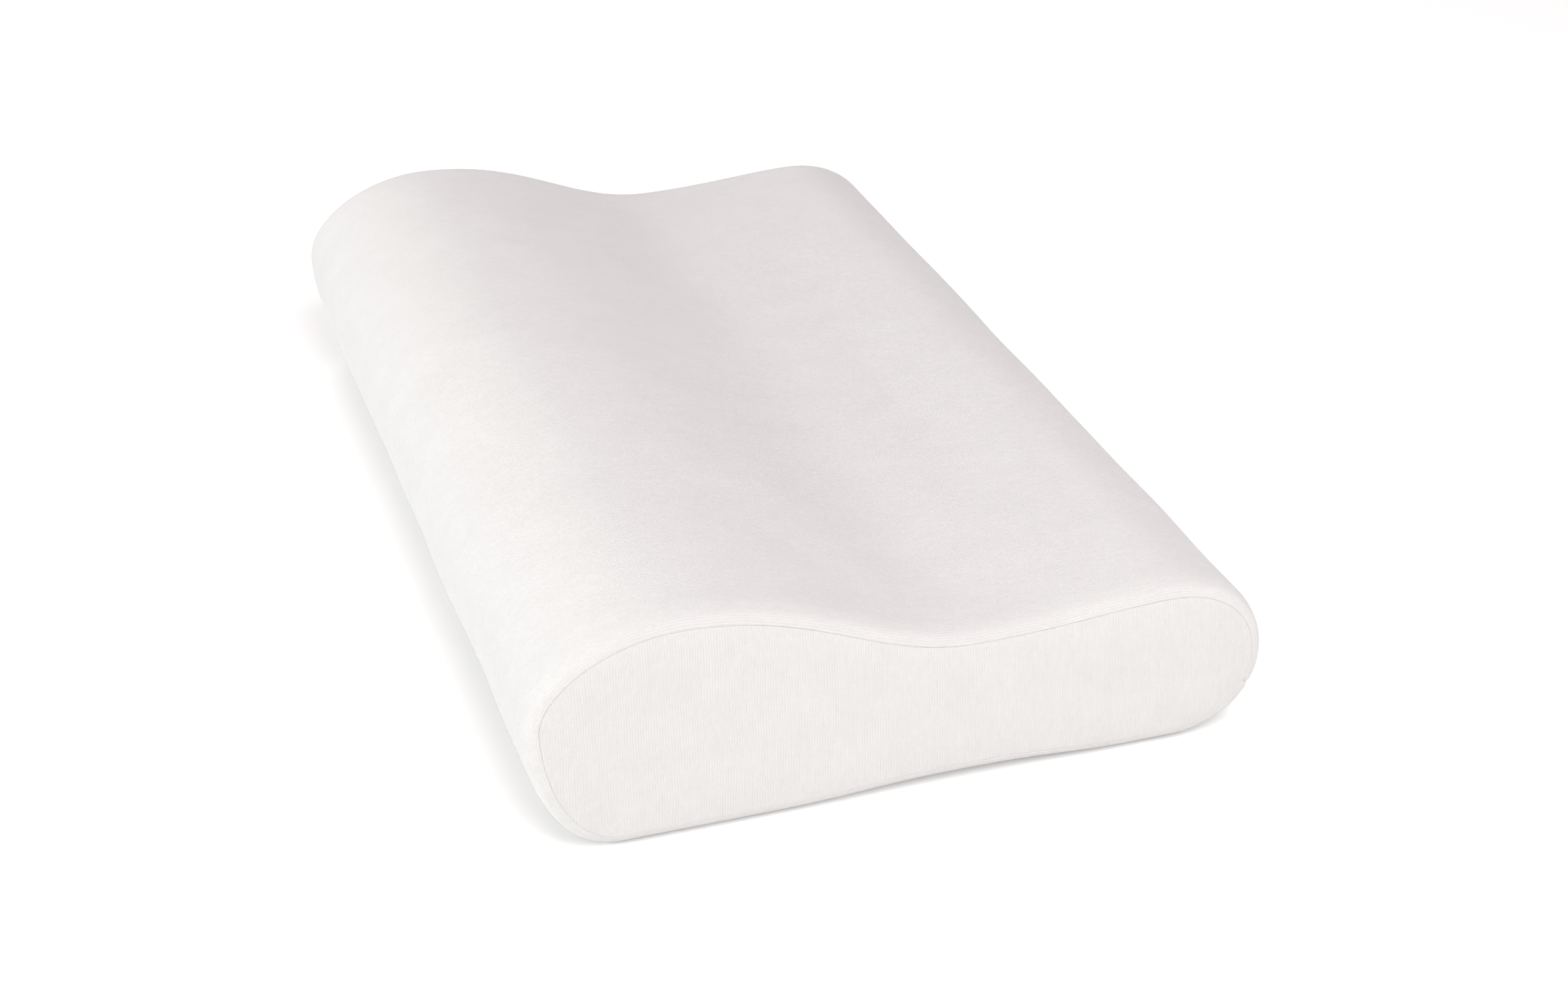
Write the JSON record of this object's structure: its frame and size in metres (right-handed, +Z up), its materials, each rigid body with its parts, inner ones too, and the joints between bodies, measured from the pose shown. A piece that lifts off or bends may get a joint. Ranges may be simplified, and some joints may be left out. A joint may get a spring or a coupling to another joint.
{
  "type": "contour bed pillow",
  "caption": "Contour bed pillow with a tall and a low lobe: a moulded foam core in a knitted liner, inside a soft removable zipped cover.",
  "frame": {"origin": "middle of the footprint, on the surface that the pillow lies on", "axes": "+X along the length, towards the end without the care label; +Y from the tall lobe to the low lobe; +Z up"},
  "size_m": [0.501, 0.3, 0.0965],
  "materials": {
    "cover_knit": "matte",
    "seam_thread": "satin",
    "liner_knit": "matte",
    "foam": "matte",
    "zip_tape": "matte",
    "zip_nylon": "satin",
    "zip_metal": "satin",
    "label_satin": "satin"
  },
  "bodies": {
    "pillow": {"foam_core": "foam", "liner_sleeve": "liner_knit", "liner_end_left": "liner_knit", "liner_end_right": "liner_knit", "cover_wrap": "cover_knit", "cover_end_left": "cover_knit", "cover_end_right": "cover_knit", "end_seam_left": "seam_thread", "end_seam_right": "seam_thread", "zip_tape_upper": "zip_tape", "zip_tape_lower": "zip_tape", "zip_coil_upper": "zip_nylon", "zip_coil_lower": "zip_nylon", "zip_stitch_upper": "seam_thread", "zip_stitch_lower": "seam_thread", "zip_top_stop_upper": "zip_nylon", "zip_top_stop_lower": "zip_nylon", "zip_bottom_stop": "zip_nylon", "zip_bar_tack_left": "seam_thread", "zip_bar_tack_right": "seam_thread", "care_label": "label_satin"},
    "slider": {"zip_slider": "zip_metal"},
    "pull": {"zip_pull": "zip_metal"}
  },
  "joints": [
    {"name": "zip_slide", "type": "slide", "parent": "pillow", "child": "slider", "axis": [1, 0, 0], "range_m": [0, 0.42]},
    {"name": "pull_flip", "type": "hinge", "parent": "slider", "child": "pull", "pos_m": [-0.2102, 0.14692, 0.01895], "axis": [0, 0.4922, 0.8705], "range_deg": [0, 180]}
  ]
}
